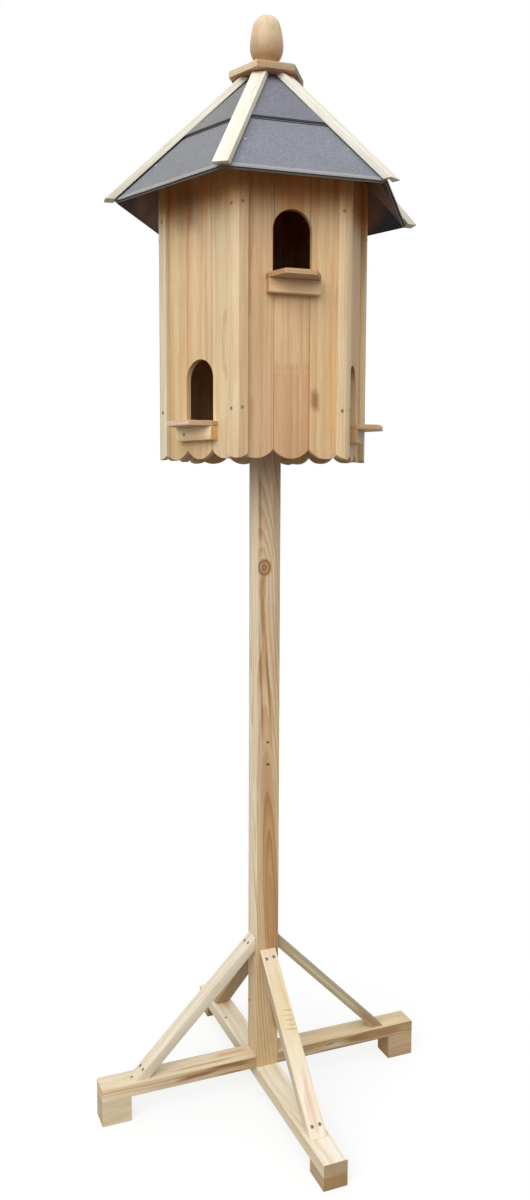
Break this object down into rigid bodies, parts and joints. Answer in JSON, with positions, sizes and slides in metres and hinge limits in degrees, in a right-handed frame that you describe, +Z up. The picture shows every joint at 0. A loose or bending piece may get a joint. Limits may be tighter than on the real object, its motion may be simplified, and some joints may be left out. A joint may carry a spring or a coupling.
{
  "type": "wooden dovecote",
  "caption": "Hexagonal wooden dovecote with arched entrances, landing shelves, a two-course pitched roof, cap and turned finial, on a square post with a braced cross foot.",
  "frame": {"origin": "on the ground under the post's axis", "axes": "+Z up the post, the foot's long beam along Y, its arms along X, and -Y the front, where the facing wall has an upper entrance"},
  "size_m": [0.65, 0.65, 1.9896],
  "materials": {
    "pale_pine": "planed, untreated",
    "post_pine": "planed, untreated",
    "wall_pine": "planed, untreated",
    "roof_ply": "dark stained board",
    "slate_felt": "mineral felt, slate grey"
  },
  "bodies": {
    "root": {"foot_beam": "pale_pine", "foot_block_front": "pale_pine", "foot_block_back": "pale_pine", "foot_block_left": "pale_pine", "foot_block_right": "pale_pine", "foot_arm_left": "pale_pine", "foot_arm_right": "pale_pine", "brace_front": "pale_pine", "brace_right": "pale_pine", "brace_back": "pale_pine", "brace_left": "pale_pine", "post": "post_pine", "wall_front": "wall_pine", "wall_front_right": "wall_pine", "wall_back_right": "wall_pine", "wall_back": "wall_pine", "wall_back_left": "wall_pine", "wall_front_left": "wall_pine", "corner_batten_front_right": "pale_pine", "corner_batten_right": "pale_pine", "corner_batten_back_right": "pale_pine", "corner_batten_back_left": "pale_pine", "corner_batten_left": "pale_pine", "corner_batten_front_left": "pale_pine", "floor_lower": "wall_pine", "floor_upper": "wall_pine", "landing_shelf_front": "wall_pine", "shelf_cleat_front": "pale_pine", "landing_shelf_front_right": "wall_pine", "shelf_cleat_front_right": "pale_pine", "landing_shelf_front_left": "wall_pine", "shelf_cleat_front_left": "pale_pine", "roof_deck_front": "roof_ply", "roof_deck_front_right": "roof_ply", "roof_deck_back_right": "roof_ply", "roof_deck_back": "roof_ply", "roof_deck_back_left": "roof_ply", "roof_deck_front_left": "roof_ply", "felt_lower_course": "slate_felt", "felt_upper_course": "slate_felt", "hip_batten_front_right": "pale_pine", "hip_batten_right": "pale_pine", "hip_batten_back_right": "pale_pine", "hip_batten_back_left": "pale_pine", "hip_batten_left": "pale_pine", "hip_batten_front_left": "pale_pine", "roof_cap": "wall_pine", "finial": "wall_pine"}
  },
  "joints": []
}
